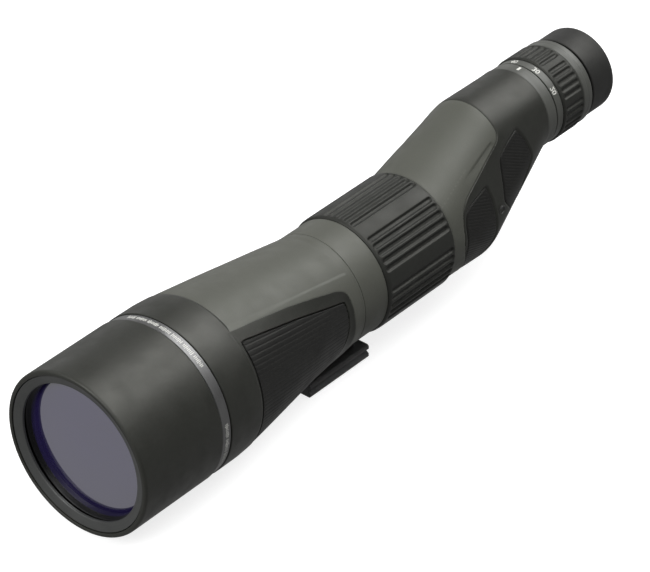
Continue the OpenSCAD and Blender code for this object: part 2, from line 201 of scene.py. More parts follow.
def scaled(colour, k):
    return tuple(min(1.0, c * k) for c in colour[:3]) + (1.0,)


class Finish:
    """A node material around one Principled shader, with object coordinates in metres."""

    def __init__(self, name, colour, rough, metal=0.0, ior=1.5, coat=0.0):
        self.mat = bpy.data.materials.new(name)
        self.mat.use_nodes = True
        self.tree = self.mat.node_tree
        self.shader = self.tree.nodes["Principled BSDF"]
        self.colour = colour
        self.set("Base Color", colour)
        self.set("Roughness", rough)
        self.set("Metallic", metal)
        self.set("IOR", ior)
        self.set("Coat Weight", coat)
        self.coords = self.add("ShaderNodeTexCoord").outputs["Object"]
        self.height = None

    def set(self, socket, value):
        self.shader.inputs[socket].default_value = value

    def add(self, kind, **values):
        made = self.tree.nodes.new(kind)
        for key, value in values.items():
            if hasattr(made, key):
                setattr(made, key, value)
            else:
                made.inputs[key.replace("_", " ")].default_value = value
        return made

    def link(self, source, target):
        self.tree.links.new(source, target)

    def noise(self, size_mm, detail=2.0, stretch=(1, 1, 1), rough=0.5):
        """Noise whose blobs are about size_mm, made longer where stretch is small."""
        mapping = self.add("ShaderNodeMapping")
        mapping.inputs["Scale"].default_value = stretch
        self.link(self.coords, mapping.inputs["Vector"])
        texture = self.add("ShaderNodeTexNoise", Scale=1000 / size_mm, Detail=detail,
                           Roughness=rough)
        self.link(mapping.outputs["Vector"], texture.inputs["Vector"])
        return texture.outputs["Fac"]

    def ranged(self, value, low, high, from_low=0.3, from_high=0.7):
        node = self.add("ShaderNodeMapRange", clamp=True)
        self.link(value, node.inputs["Value"])
        for key, number in (("From Min", from_low), ("From Max", from_high),
                            ("To Min", low), ("To Max", high)):
            node.inputs[key].default_value = number
        return node.outputs["Result"]

    def tint(self, value, colour, amount):
        """Mixes a second colour in by amount where value is high."""
        node = self.add("ShaderNodeMix", data_type="RGBA")
        self.link(self.ranged(value, 0, amount), node.inputs[0])
        base = self.shader.inputs["Base Color"]
        if base.is_linked:
            self.link(base.links[0].from_socket, node.inputs[6])
        else:
            node.inputs[6].default_value = self.colour
        node.inputs[7].default_value = colour
        self.link(node.outputs[2], base)
        return self

    def sheen_by(self, value, low, high):
        self.link(self.ranged(value, low, high), self.shader.inputs["Roughness"])
        return self

    def bump(self, value, depth_mm):
        node = self.add("ShaderNodeBump", Strength=1.0, Distance=depth_mm * MM)
        self.link(value, node.inputs["Height"])
        if self.height is not None:
            self.link(self.height, node.inputs["Normal"])
        self.height = node.outputs["Normal"]
        self.link(self.height, self.shader.inputs["Normal"])
        return self

    def edge_wear_and_highlight(self, colour, amount, start=0.52, end=0.62):
        """A lighter tone on outer edges: partly wear as handling leaves it, partly a painted
        highlight where rounded rims catch the light.
        """
        geometry = self.add("ShaderNodeNewGeometry")
        # Painted highlight mixed with wear: convex edges are lightened by their Pointiness.
        edge = self.ranged(geometry.outputs["Pointiness"], 0, amount, start, end)
        node = self.add("ShaderNodeMix", data_type="RGBA")
        self.link(edge, node.inputs[0])
        base = self.shader.inputs["Base Color"]
        self.link(base.links[0].from_socket, node.inputs[6])
        node.inputs[7].default_value = colour
        self.link(node.outputs[2], base)
        return self


def rubber(name, colour, rough=0.5, grain=0.45, depth=0.035, ior=1.46):
    """Moulded rubber: fine leather-like grain, faint dust and a few shinier rubbed spots."""
    made = Finish(name, colour, rough, ior=ior)
    made.set("Specular Tint", (1.0, 1.0, 0.93, 1.0))
    made.tint(made.noise(38, 3), scaled(colour, 1.12), 0.4)
    made.tint(made.noise(0.8, 4), scaled(colour, 0.72), 0.45)
    made.tint(made.noise(2.6, 5, rough=0.7), srgb(124, 122, 114), 0.02)
    made.sheen_by(made.noise(14, 4), rough - 0.05, rough + 0.09)
    made.bump(made.noise(grain, 3), depth)
    made.bump(made.noise(5, 2), depth * 1.2)
    # The lighter rubber edges are partly wear and partly a painted highlight on the rims.
    return made.edge_wear_and_highlight(scaled(colour, 1.6), 0.2).mat


def satin_metal(name, colour, rough=0.45, metal=0.1, across=0.7):
    """Bead-blasted and hard-anodised metal: tiny pits and a slight cloudiness."""
    made = Finish(name, colour, rough, metal, 1.36)
    made.tint(made.noise(45, 2), scaled(colour, 1.15), 0.5)
    made.tint(made.noise(across, 3), scaled(colour, 0.84), 0.4)
    made.sheen_by(made.noise(9, 4), rough - 0.05, rough + 0.07)
    made.bump(made.noise(0.35, 2), 0.014)
    # The lighter metal edges are partly wear and partly a painted highlight on the rims.
    return made.edge_wear_and_highlight(scaled(colour, 1.7), 0.3).mat


def turned_metal(name, colour, rough=0.32, metal=0.8, groove=0.28, depth=0.01):
    """Lathe-turned metal, with fine marks that run round the axis."""
    made = Finish(name, colour, rough, metal)
    rings = made.noise(groove, 3, (0.02, 1, 0.02))
    made.tint(rings, scaled(colour, 0.72), 0.5)
    made.tint(made.noise(6, 4), scaled(colour, 1.2), 0.35)
    made.sheen_by(made.noise(3, 3, (0.2, 1, 0.2)), rough - 0.07, rough + 0.1)
    made.bump(rings, depth)
    return made.mat


def coated_glass(name, colour, mirror):
    """A coated lens: a deep base colour under a smooth coat, which reflects more as mirror grows.
    On the front lens that base colour is a painted purple reflection of the coating.
    """
    made = Finish(name, colour, 0.35, ior=1.2, coat=1.0)
    made.set("Coat IOR", mirror)
    made.set("Coat Roughness", 0.02)
    made.tint(made.noise(26, 2), scaled(colour, 1.25), 0.6)
    made.sheen_by(made.noise(1.1, 5, rough=0.75), 0.3, 0.4)
    return made.mat


def print_paint(name, colour):
    """Screen-printed paint, slightly uneven in tone."""
    made = Finish(name, colour, 0.55)
    made.tint(made.noise(0.5, 3), scaled(colour, 0.8), 0.6)
    made.bump(made.noise(0.3, 2), 0.01)
    return made.mat


ARMOUR = rubber("olive_rubber", srgb(31, 32, 29), 0.47)
GRIP = rubber("grip_rubber", srgb(28, 29, 27), 0.5, ior=1.39)
PAD = rubber("pad_rubber", srgb(22, 22, 22), 0.48, 0.4, 0.03, 1.34)
CUP_RUBBER = rubber("cup_rubber", srgb(30, 30, 30), 0.52, 0.35, 0.02, 1.38)
SADDLE = satin_metal("saddle_anodising", srgb(76, 77, 71), 0.5)
RING_METAL = turned_metal("eyepiece_ring_metal", srgb(73, 74, 70), 0.47, 0.12)
LIP_METAL = turned_metal("lip_metal", srgb(67, 68, 67), 0.42, 0.35)
SILVER = turned_metal("bare_silver", srgb(112, 112, 112), 0.42, 0.85)
BLACK_METAL = turned_metal("black_anodising", srgb(13, 13, 14), 0.42, 0.4)
FOOT_BLACK = satin_metal("foot_black_coat", srgb(72, 72, 72), 0.5, 0.0, 0.5)
BADGE = turned_metal("badge_metal", srgb(58, 58, 57), 0.35, 0.6)
STEEL = turned_metal("spring_steel", srgb(150, 150, 152), 0.3, 0.95)
BRASS = turned_metal("brass", srgb(176, 140, 78), 0.34, 0.95)
WHITE_PAINT = print_paint("white_paint", srgb(198, 198, 192))
SEAL = rubber("seal_rubber", srgb(24, 24, 24), 0.45, 0.3, 0.01)
GLIDE = rubber("glide_plastic", srgb(214, 208, 192), 0.4, 0.3, 0.01)
# The purple base colour here is a painted reflection of the lens coating, lit by the lamps.
FRONT_GLASS_PAINTED_REFLECTION = coated_glass("front_glass_painted_reflection", srgb(34, 27, 68), 3.75)
EYE_GLASS = coated_glass("eye_glass", srgb(30, 52, 58), 2.0)
PRISM_GLASS = coated_glass("prism_glass", srgb(110, 120, 124), 1.8)

SLOT_FINISH = {
    "olive_armour": ARMOUR, "saddle_metal": SADDLE, "black_anodised": BLACK_METAL,
    "front_trim": LIP_METAL, "glide_plastic": GLIDE, "silver_band": SILVER,
    "seal_rubber": SEAL, "coated_glass": EYE_GLASS, "prism_glass": PRISM_GLASS,
    "pad_rubber": PAD, "badge_metal": BADGE, "spring_steel": STEEL, "brass": BRASS,
    "white_mark": WHITE_PAINT, "eyecup_rubber": CUP_RUBBER, "foot_black": FOOT_BLACK,
}


def finish_cad_nodes():
    """Every CAD part that stays in view or inside gets the finish of its material slot."""
    for part in frame["record"]["subparts"]:
        mesh = frame["nodes"][part["node"]].data
        mesh.materials.clear()
        mesh.materials.append(SLOT_FINISH[part["material_slot"]])


# ---- hood and objective --------------------------------------------------------------


def hood():
    revolve("hood_skin",
            [(48.5, 3.6), (48.5, 0.25, 0.25), (48.8, 0.0, 0.2), (50.6, 0.0, 0.7),
             (51.5, 1.1, 0.9), (51.5, 62.2, 0.3), (51.1, 62.6), (50.5, 62.6)],
            [(50.5, 58), (50.5, 4.0)],
            ARMOUR, "hood", "olive_armour", ["hood_armour"], cols=512, step=1.0)
    revolve("hood_front_ring",
            [(42.7, 4.0), (42.6, 2.9, 0.3), (42.9, 2.45, 0.3), (47.9, 0.72, 0.25),
             (48.25, 1.0, 0.25), (48.25, 4.0)],
            [(46, 4.0), (44, 4.0)],
            LIP_METAL, "hood", "front_trim", ["hood_lip_ring"], cols=384, step=0.8)


def name_band():
    revolve("name_band",
            [(49.2, 63.2), (50.5, 63.2, 0.2), (50.75, 63.5, 0.2), (50.75, 69.6, 0.2),
             (50.5, 69.9, 0.2), (49.2, 69.9)],
            [(48.7, 69.9), (48.7, 63.3)],
            SILVER, "scope", "silver_band", ["name_ring"], cols=512, step=0.5)
    band_marks("name_band_marks", np.r_[-24:42:1.1, 81:119:1.3], 66.7, 50.75)


STROKE_HALF_LENGTHS = (1.5, 0.9, 1.2, 0.9, 1.2)
STROKE_HALF_WIDTH, STROKE_PROUD, STROKE_SUNK = 0.24, 0.05, 0.25
GAP_EVERY, GAP_AT = 9, 6


def band_marks(name, degrees, station, radius):
    """A plain row of printed strokes of mixed lengths round the band, with gaps."""
    points, faces = [], []
    shown = [turn for k, turn in enumerate(np.radians(degrees)) if k % GAP_EVERY != GAP_AT]
    for k, turn in enumerate(shown):
        half_long = STROKE_HALF_LENGTHS[k % len(STROKE_HALF_LENGTHS)]
        half_wide = STROKE_HALF_WIDTH / radius
        for r in (radius + STROKE_PROUD, radius - STROKE_SUNK):
            for along, round_by in ((-1, -1), (-1, 1), (1, 1), (1, -1)):
                angle = turn + round_by * half_wide
                points.append((r * math.sin(angle), station + along * half_long,
                               r * math.cos(angle)))
        first = 8 * k
        faces += [tuple(first + i for i in face) for face in
                  ((3, 2, 1, 0), (4, 5, 6, 7), (0, 1, 5, 4), (1, 2, 6, 5), (2, 3, 7, 6),
                   (3, 0, 4, 7))]
    add_piece(name, np.array(points), np.array(faces), WHITE_PAINT, "scope", "silver_band")


def glass_disc(name, node, finish, edge, s_edge, s_top, s_back, axis=0.0, facing=-1):
    """A lens of radius edge, whose curved face looks forward (facing -1) or back (facing 1)."""
    rise = abs(s_top - s_edge)
    curve = (edge * edge + rise * rise) / (2 * rise)
    radii = np.linspace(CENTRE_R, edge, 30)
    depth = curve - np.sqrt(curve * curve - radii * radii)
    face = [(r, s_top - facing * d) for r, d in zip(radii, depth)]
    if facing < 0:
        outer, inner = face + [(edge, s_back)], [(CENTRE_R, s_back)]
    else:
        outer = [(CENTRE_R, s_back), (edge, s_back)] + face[::-1]
        inner = [(CENTRE_R / 2, (s_top + s_back) / 2)]
    revolve(name, outer, inner, finish, "scope", "coated_glass", [node], cols=192, axis=axis)


def objective():
    revolve("lens_stop_ring",
            [(42.4, 9.3), (42.6, 8.9, 0.1), (43.3, 6.3, 0.2), (43.7, 6.0, 0.2), (46.6, 6.0)],
            [(46.6, 9.4), (44.0, 9.4)],
            BLACK_METAL, "scope", "black_anodised", ["lens_retainer"], cols=256, step=0.8)
    glass_disc("objective_glass", "front_lens", FRONT_GLASS_PAINTED_REFLECTION, 43.4, 9.3, 4.9, 16.0)


# ---- barrel --------------------------------------------------------------------------

BARREL_S = [60, 70.3, 86, 92, 99, 200, 210]
BARREL_R = [51.3, 51.3, 51.25, 50.8, 50.2, 36.9, 36.9]
BARE_FRONT, WAIST_S = 97.0, 202.1
SADDLE_X, SADDLE_BACK = 25.8, 197.5
# At the front and at the rear
SADDLE_DEPTH, SADDLE_LEDGE = (0.85, 0.42), (4.5, 1.5)
SCOOP_DEPTH = (0.5, 1.4)
EASE = 2.2  # half the length over which the barrel's profile is eased
FLANK_DEGREES = 80  # the middle of each side pad
PAD_RIDGES = (2.6, 0.17)  # pitch and depth
RIDGE_VALLEY = 0.42

# Side pads and the wider hollow that they lie in, as (station, angle, corner size)
PAD_OUTLINE = [
    (98.4, 42.6, 2), (101, 42.2, 2), (145.4, 51.4), (171.4, 59.4), (187.0, 64.6, 1.5),
    (187.8, 76), (187.3, 91), (185.4, 106), (181, 128, 6), (150, 134), (106, 140, 6),
    (99.3, 130, 6), (97.6, 112), (97.6, 75), (98.2, 50),
]
HOLLOW_OUTLINE = [
    (93.0, 31.5, 2), (101, 33.2, 3), (118, 35.3), (144.2, 39.8), (165.5, 45.5),
    (183.8, 51.6, 3), (190.4, 56.8, 3), (191.8, 67), (192.3, 80), (192.6, 101),
    (192.2, 119), (187, 136, 8), (150, 142), (106, 146, 8), (93, 140, 6),
]


def barrel_radius(s):
    ahead = np.interp(s + EASE, BARREL_S, BARREL_R)
    behind = np.interp(s - EASE, BARREL_S, BARREL_R)
    return (np.interp(s, BARREL_S, BARREL_R) * 2 + ahead + behind) / 4


def flank_outline(points):
    """Turns (station, degrees) corners into (station, mm round from the flank's middle)."""
    turned = [(s, math.radians(a - FLANK_DEGREES) * float(barrel_radius(s)), *rest)
              for s, a, *rest in points]
    return rounded(turned, closed=True)


def flank_inside(s, angle, outline):
    """How far points of the barrel are inside an outline on either flank."""
    round_by = (np.abs(angle) - math.radians(FLANK_DEGREES)) * barrel_radius(s)
    return inside_by(s, round_by, outline)


def saddle_sink(s, angle):
    """The shallow flat-bottomed saddle along the top, softest at its front and its rear."""
    x = np.abs(barrel_radius(s) * np.sin(angle))
    rearward = smooth((s - BARE_FRONT) / 60)
    ledge = mix(*SADDLE_LEDGE, rearward)
    depth = mix(*SADDLE_DEPTH, rearward) * smooth((SADDLE_BACK + 2 - s) / 4.5)
    return np.where(np.cos(angle) > 0, depth * smooth((SADDLE_X - x) / ledge + 0.5), 0)


def signed(angle):
    """Angles brought to the range -180 to 180 degrees."""
    return (angle + math.pi) % FULL_TURN - math.pi


def scoop_depth(s):
    return mix(*SCOOP_DEPTH, smooth((s - 100) / 80))


def hollow_drop(s, angle):
    """Depth of the scoop round a side pad, and distances inside its edge and the pad's."""
    pad, hollow = (flank_outline(o) for o in (PAD_OUTLINE, HOLLOW_OUTLINE))
    d_pad = flank_inside(s, angle, pad)
    d_hollow = flank_inside(s, angle, hollow)
    ramp = np.clip(d_hollow / np.maximum(d_hollow - d_pad, 1.1), 0, 1)
    depth = scoop_depth(s) * mix(smooth(ramp), 1 - (1 - ramp) ** 2, 0.7)
    return depth + 1.3 * smooth((d_pad + 0.45) / 0.5), d_hollow


def bare_relief(s, angle):
    """From the plain cone of bare_chain out to the bare metal's real surface."""
    angle = signed(angle)
    drop = hollow_drop(s, angle)[0]
    drop += saddle_sink(s, angle) + 0.2 * (1 - smooth((WAIST_S - s) / 0.35))
    return barrel_radius(s) - bare_chain(s) - drop


def bare_chain(s):
    return np.interp(s, [95.0, WAIST_S], [47.0, 35.6])


def armour_chain():
    """The front armour: a crisp front edge and a rear edge that rolls down to the metal."""
    stations = np.concatenate([np.arange(70.2, 71, 0.1), np.arange(71, 96, 1.0),
                               np.arange(96, 98.5, 0.2)])
    ends = 0.35 * (1 - smooth((stations - 70.2) / 0.4)) + 0.95 * smooth((stations - 95.9) / 2.4)
    return [(float(r), float(s)) for r, s in zip(barrel_radius(stations) - ends, stations)]


def barrel():
    revolve("barrel_armour_skin",
            [(48.8, 70.2)] + armour_chain() + [(47.6, 98.4)],
            [(47.2, 98.2), (48.4, 85), (48.6, 70.3)],
            ARMOUR, "scope", "olive_armour", ["barrel_armour"], cols=512, step=1.0)
    revolve("barrel_metal_skin",
            [(bare_chain(95.0), 95.0), (bare_chain(WAIST_S), WAIST_S)],
            [(33.5, WAIST_S), (46.4, 95.2)],
            SADDLE, "scope", "saddle_metal", ["barrel_shell"], cols=840, step=0.42,
            relief=bare_relief)
    for word, sign in SIDES:
        side_pad(word, sign)
    for word, sign in SIDES:
        pad_frame(word, sign)


def barrel_patch(name, s, angle, drop, depth, finish, slot, replaced):
    """A closed piece laid in the barrel's side: its top is sunk by drop, its floor by depth."""
    s, angle = np.meshgrid(s, angle, indexing="ij")
    r = barrel_radius(s) - drop(s, angle)
    floor = barrel_radius(s) - depth

    def at(radius):
        return np.stack([radius * np.sin(angle), s, radius * np.cos(angle)], -1)

    slab(name, at(np.maximum(r, floor + 0.2)), at(floor), finish, "scope", slot, replaced)


def flutes(along, pitch, depth):
    """Flat ridges with narrow round valleys between them."""
    off = (along / pitch) % 1 - 0.5
    return depth * np.exp(-(off * pitch / RIDGE_VALLEY) ** 2)


def side_pad(word, sign):
    outline = flank_outline(PAD_OUTLINE)

    def drop(s, angle):
        z = barrel_radius(s) * np.cos(angle)
        inside = flank_inside(s, angle, outline)
        ridges = flutes(z + 0.18 * (s - 100), *PAD_RIDGES) * smooth((inside - 0.5) / 0.8)
        return scoop_depth(s) - 0.2 + ridges + 1.5 * smooth((0.8 - inside) / 0.6)

    angles = sign * np.linspace(math.radians(38), math.radians(143), 400)[::sign]
    barrel_patch(f"side_pad_{word}_ribs", np.arange(96.2, 189.0, 0.45), angles, drop, 3.2,
                 PAD, "pad_rubber", [f"side_pad_{word}"])


def pad_frame(word, sign):
    """The thin olive rubber that lines the scoop round a side pad."""

    def drop(s, angle):
        depth, inside = hollow_drop(s, angle)
        return depth + saddle_sink(s, angle) - 0.14 + 1.1 * smooth((0.45 - inside) / 0.6)

    angles = sign * np.linspace(math.radians(29), math.radians(150), 460)[::sign]
    barrel_patch(f"pad_frame_{word}", np.arange(94.0, 194.5, 0.45), angles, drop, 4.2,
                 ARMOUR, "olive_armour", [])


def collar():
    revolve("front_collar_band",
            [(34.5, 202.3), (36.7, 202.3, 0.1), (36.9, 202.55, 0.15), (36.9, 222.3, 0.15),
             (36.7, 222.55, 0.1), (33.6, 222.55)],
            [(33.1, 222.4), (33.1, 204)],
            SADDLE, "scope", "saddle_metal", ["front_collar"], cols=384, step=1.0)


# ---- focus ring ----------------------------------------------------------------------

GROUPS, GROUP_SIZE = 7, 5


def groove_places(centre, pitch):
    """Degrees of one group of grooves."""
    return [centre + (k - (GROUP_SIZE - 1) / 2) * pitch for k in range(GROUP_SIZE)]


def grooves(s, angle, places, radius, ends, half, depth, slope):
    """Depth of straight round-ended grooves, in groups that repeat round the ring."""
    period = 360 / GROUPS
    total = np.zeros_like(s)
    beyond = np.maximum(np.maximum(ends[0] + half - s, s - ends[1] + half), 0)
    for place in places:
        off = (np.degrees(angle) - place + period / 2) % period - period / 2
        away = np.hypot(np.radians(off) * radius, beyond)
        total = np.maximum(total, depth * smooth((half - away) / slope))
    return total


FOCUS_GROOVES = {"places": groove_places(47, 7.6), "radius": 38.2, "ends": (224.4, 282.9),
                 "half": 2.2, "depth": 1.35, "slope": 1.5}


def focus_relief(s, angle):
    return -grooves(s, angle, **FOCUS_GROOVES)


def focus_ring():
    revolve("focus_grip",
            [(36.0, 222.85), (36.95, 222.85, 0.1), (37.9, 223.7, 0.6), (38.2, 225.2, 0.6),
             (38.2, 283.3, 0.6), (37.4, 284.1, 0.3), (36.2, 284.1)],
            [(35.9, 284.1), (35.9, 222.95)],
            GRIP, "focus_ring", "olive_armour", ["focus_ring_grip"], cols=840, step=0.42,
            relief=focus_relief)


# ---- prism housing -------------------------------------------------------------------

HOUSING_S = (284.5, 385.8)
# Discs as (station, height, radius), whose hull is the housing
HOUSING_DISCS = [(284.5, 0.0, 36.9), (326.0, 0.0, 37.5), (340.0, EYE_H, 28.3),
                 (385.8, EYE_H, 28.0)]
# The metal panel and the pads in side view, as (station, height, corner size)
PANEL_OUTLINE = [
    (270, 90), (340.6, 90), (340.6, 48.4, 5), (299, 23.9, 8), (295.4, 13.4, 6), (294.7, 0.5),
    (296, -8), (300, -19, 4), (302, -60), (270, -60),
]
LOWER_PAD = [
    (320.8, 26.4, 2), (301, 20, 4), (297.6, 12, 4), (297.4, -10), (299.5, -19, 3),
    (303, -27, 3), (321, -23, 4), (325.5, -9), (324.5, 4), (323.5, 16.5),
]
UPPER_PAD = [
    (356.5, 47, 2), (345, 42.5), (336.8, 37, 3), (335.5, 20), (334, 10, 3), (345, -3, 4),
    (352, 2), (366, 25, 3), (362, 38, 4),
]


def housing_circles(s):
    """The circles whose outline is the housing's section at a station."""
    found = []
    for s0, z0, r0 in HOUSING_DISCS:
        for s1, z1, r1 in HOUSING_DISCS:
            if s0 < s1 and s0 <= s <= s1:
                t = (s - s0) / (s1 - s0)
                found.append((mix(z0, z1, t), mix(r0, r1, t)))
    return found


def blurred(rows, sigma):
    """Rows smoothed along the first axis, with the ends held."""
    reach = int(3 * sigma)
    kernel = np.exp(-0.5 * (np.arange(-reach, reach + 1) / sigma) ** 2)
    kernel /= kernel.sum()
    padded = np.concatenate([rows[:1].repeat(reach, 0), rows, rows[-1:].repeat(reach, 0)])
    return sum(k * padded[i:i + len(rows)] for i, k in enumerate(kernel))


class Housing:
    """The housing's outer surface as distances from a curved centre line."""

    def __init__(self, rows=210, cols=760):
        self.s = np.linspace(*HOUSING_S, rows)
        self.angle = np.linspace(0, FULL_TURN, cols, endpoint=False)
        normals = np.linspace(0, FULL_TURN, 720, endpoint=False)
        reach = np.array([[max(z * math.cos(n) + r for z, r in circles) for n in normals]
                          for circles in map(housing_circles, self.s)])
        centre = blurred((reach[:, 0] - reach[:, 360]) / 2, 8)
        facing = np.cos(normals[:, None] - self.angle[None, :])
        facing = np.where(facing > 0.2, facing, np.nan)
        table = np.array([
            np.nanmin((row - z * np.cos(normals))[:, None] / facing, axis=0)
            for row, z in zip(reach, centre)
        ])
        self.centre = centre
        self.radius = blurred(table, 7)

    def grid(self):
        return (self.s[:, None] + 0 * self.radius, self.angle[None, :] + 0 * self.radius,
                self.radius, self.centre[:, None] + 0 * self.radius)

    def sample(self, s, angle):
        """Radius and centre at any stations and angles."""
        i = np.interp(s, self.s, np.arange(len(self.s)))
        j = (angle % FULL_TURN) / FULL_TURN * len(self.angle)
        i0 = np.minimum(i.astype(int), len(self.s) - 2)
        j0 = j.astype(int) % len(self.angle)
        j1 = (j0 + 1) % len(self.angle)
        fi, fj = i - i0, j - j.astype(int)
        top = mix(self.radius[i0, j0], self.radius[i0, j1], fj)
        low = mix(self.radius[i0 + 1, j0], self.radius[i0 + 1, j1], fj)
        return mix(top, low, fi), np.interp(s, self.s, self.centre)


def around(s, angle, radius, centre):
    return np.stack([radius * np.sin(angle), s, centre + radius * np.cos(angle)], -1)


def housing_shell(shape, name, drop, wall, finish, slot, replaced):
    """A closed shell over the whole housing, sunk by drop from its outer surface."""
    s, angle, radius, centre = shape.grid()
    ends = 0.25 * (2 - smooth((s - HOUSING_S[0]) / 0.4) - smooth((HOUSING_S[1] - s) / 0.4))
    outer = around(s, angle, radius - drop - ends, centre)
    keep = np.r_[len(shape.s) - 1:0:-12, 0]
    inner = around(s, angle, radius - wall, centre)[keep]
    points = np.concatenate([outer, inner])
    faces = quads(points.shape[0], points.shape[1], True, True)
    add_piece(name, points, faces, finish, "scope", slot, replaced)


def line_distance(a, b, p, q):
    """Distance of points (a, b) left of the line from p to q, and the share along it."""
    da, db = q[0] - p[0], q[1] - p[1]
    length = math.hypot(da, db)
    share = ((a - p[0]) * da + (b - p[1]) * db) / length ** 2
    return ((a - p[0]) * -db + (b - p[1]) * da) / length, share


CREASE_FROM, CREASE_TO, CREASE_DEPTH = (303, 33), (334, 47), 0.65
HOUSING_RIDGES = (2.0, 0.24)  # pitch and depth
PADS = (("lower", LOWER_PAD, 0.34, 296, 327), ("upper", UPPER_PAD, 0.5, 332, 368))
PAD_WALL = 3.0
PANEL_WALL, ARMOUR_WALL = 3.7, 2.4
BADGE_S, BADGE_Z = 330.0, 7.0
# (radius, height over the armour)
BADGE_PROFILE = [(0.01, -0.1), (1.8, -0.05), (2.2, 0.5), (2.7, 0.5), (3.0, 0.15), (3.0, -1.5),
                 (0.01, -1.5)]


def panel_crease(s, z):
    """The shallow fold along each top side of the panel, fading forwards."""
    across, share = line_distance(s, z, CREASE_FROM, CREASE_TO)
    fade = smooth(share / 0.6) * smooth((1.03 - share) / 0.06)
    side = np.where(across > 0, smooth((1.3 - across) / 1.3), smooth((5 + across) / 5))
    return CREASE_DEPTH * side * fade


def housing():
    shape = Housing()
    s, angle, radius, centre = shape.grid()
    z = centre + radius * np.cos(angle)
    panel = inside_by(s, z, rounded(PANEL_OUTLINE, closed=True))
    lower = inside_by(s, z, rounded(LOWER_PAD, closed=True))
    upper = inside_by(s, z, rounded(UPPER_PAD, closed=True))
    metal_drop = 0.1 + panel_crease(s, z) + 1.2 * smooth((0.45 - panel) / 0.9)
    housing_shell(shape, "housing_panel", metal_drop, PANEL_WALL, SADDLE, "saddle_metal",
                  ["prism_housing"])
    skin_drop = 1.2 * smooth((panel + 0.45) / 0.9)
    for pad in (lower, upper):
        skin_drop = skin_drop + 1.1 * smooth((pad + 1.3) / 1.6)
    housing_shell(shape, "housing_armour_skin", skin_drop, ARMOUR_WALL, ARMOUR,
                  "olive_armour", ["housing_armour"])
    for word, sign in SIDES:
        for level, outline, slope, low, high in PADS:
            housing_pad(shape, word, sign, level, outline, slope, low, high)
        badge(shape, word, sign)


def housing_pad(shape, word, sign, level, outline, slope, low, high):
    """A pad between stations low and high, with ridges that climb by slope."""
    edge = rounded(outline, closed=True)
    s, angle = np.meshgrid(np.arange(low, high, 0.4), np.linspace(20, 150, 380), indexing="ij")
    angle = np.radians(angle[:, ::sign]) * sign
    radius, centre = shape.sample(s, angle)
    z = centre + radius * np.cos(angle)
    inside = inside_by(s, z, edge)
    ridges = flutes(z + slope * (s - low), *HOUSING_RIDGES) * smooth((inside - 0.7) / 0.8)
    drop = 0.35 + ridges + 0.6 * smooth((1.3 - inside) / 1.3) + 1.4 * smooth((0.2 - inside) / 0.7)
    top = around(s, angle, radius - drop, centre)
    bottom = around(s, angle, radius - PAD_WALL, centre)
    replaced = [f"housing_pads_{word}"] if level == "lower" else []
    slab(f"housing_{level}_pad_{word}", top, bottom, PAD, "scope", "pad_rubber", replaced)


def badge(shape, word, sign):
    """A small blank dished disc set into the armour."""
    trial = np.radians(np.linspace(30, 150, 600)) * sign
    radius, centre = shape.sample(np.full_like(trial, BADGE_S), trial)
    heights = centre + radius * np.cos(trial)
    best = int(np.argmin(np.abs(heights - BADGE_Z)))
    at = around(BADGE_S, trial[best], radius[best], centre[best])
    out = np.array([sign, 0.0, 0.0])
    back, up = np.array([0, 1.0, 0]), np.array([0, 0, 1.0])
    turn = np.linspace(0, FULL_TURN, 48, endpoint=False) * sign
    points = np.array([[at + out * h + r * (back * math.cos(t) + up * math.sin(t))
                        for t in turn] for r, h in BADGE_PROFILE])
    faces = quads(len(BADGE_PROFILE), len(turn), True, True)
    add_piece(f"blank_badge_{word}", points, faces, BADGE, "scope",
              "badge_metal", ["badges"] if word == "left" else [])


# ---- eyepiece ------------------------------------------------------------------------


ZOOM_GROOVES = {"places": groove_places(47.5, 9.1), "radius": 28.6, "ends": (402.6, 420.2),
                "half": 1.95, "depth": 0.95, "slope": 1.5}
SCALE_R, FIGURE_S, FIGURE_HEIGHT = 27.6, 398.1, 5.1
ZOOM_FIGURES = (("20", 50.5), ("30", 16.5), ("40", -18.5), ("50", -53), ("60", -87))
INDEX_R, INDEX_S, INDEX_HALF_WIDE, INDEX_HALF_LONG = 27.8, 391.2, 0.8, 1.7
MARK_SUNK = 0.3
END_GROOVE_S, END_GROOVE_DEPTH, END_GROOVE_WIDTH, END_FLAT_BACK = 425.6, 0.12, 0.22, 429


def end_ring_relief(s, angle):
    """A shallow turned groove round the end ring."""
    return -END_GROOVE_DEPTH * np.exp(-((s - END_GROOVE_S) / END_GROOVE_WIDTH) ** 2) * (
        s < END_FLAT_BACK)


def wrapped(name, mesh, radius, proud, body, replaced=()):
    """White paint from a flat mesh of (x right, y station) mm, laid on the eyepiece."""
    for v in mesh.vertices:
        angle, rise = v.co.x / radius, radius + (proud if v.co.z > 0 else -MARK_SUNK)
        v.co = ((rise * math.sin(angle)) * MM, (v.co.y - FOOT_S) * MM,
                (AXIS_H + EYE_H + rise * math.cos(angle)) * MM)
    place(name, mesh, WHITE_PAINT, body, "white_mark", replaced)


def numeral(text, degrees):
    """A generic zoom figure, read from behind the eyepiece."""
    name = f"zoom_figure_{text}"
    curve = bpy.data.curves.new(name + "_curve", "FONT")
    curve.body, curve.size = text, FIGURE_HEIGHT
    curve.align_x, curve.align_y = "CENTER", "CENTER"
    curve.extrude, curve.offset, curve.resolution_u = 0.1, 0.035, 6
    holder = bpy.data.objects.new(name + "_holder", curve)
    bpy.context.scene.collection.objects.link(holder)
    mesh = bpy.data.meshes.new_from_object(holder)
    bpy.data.objects.remove(holder)
    shift = math.radians(degrees) * SCALE_R
    for v in mesh.vertices:
        v.co = (v.co.x + shift, FIGURE_S - v.co.y, v.co.z)
    mesh.flip_normals()
    wrapped(name, mesh, SCALE_R, 0.06, "zoom_ring")


def zoom_relief(s, angle):
    return -grooves(s, angle, **ZOOM_GROOVES)


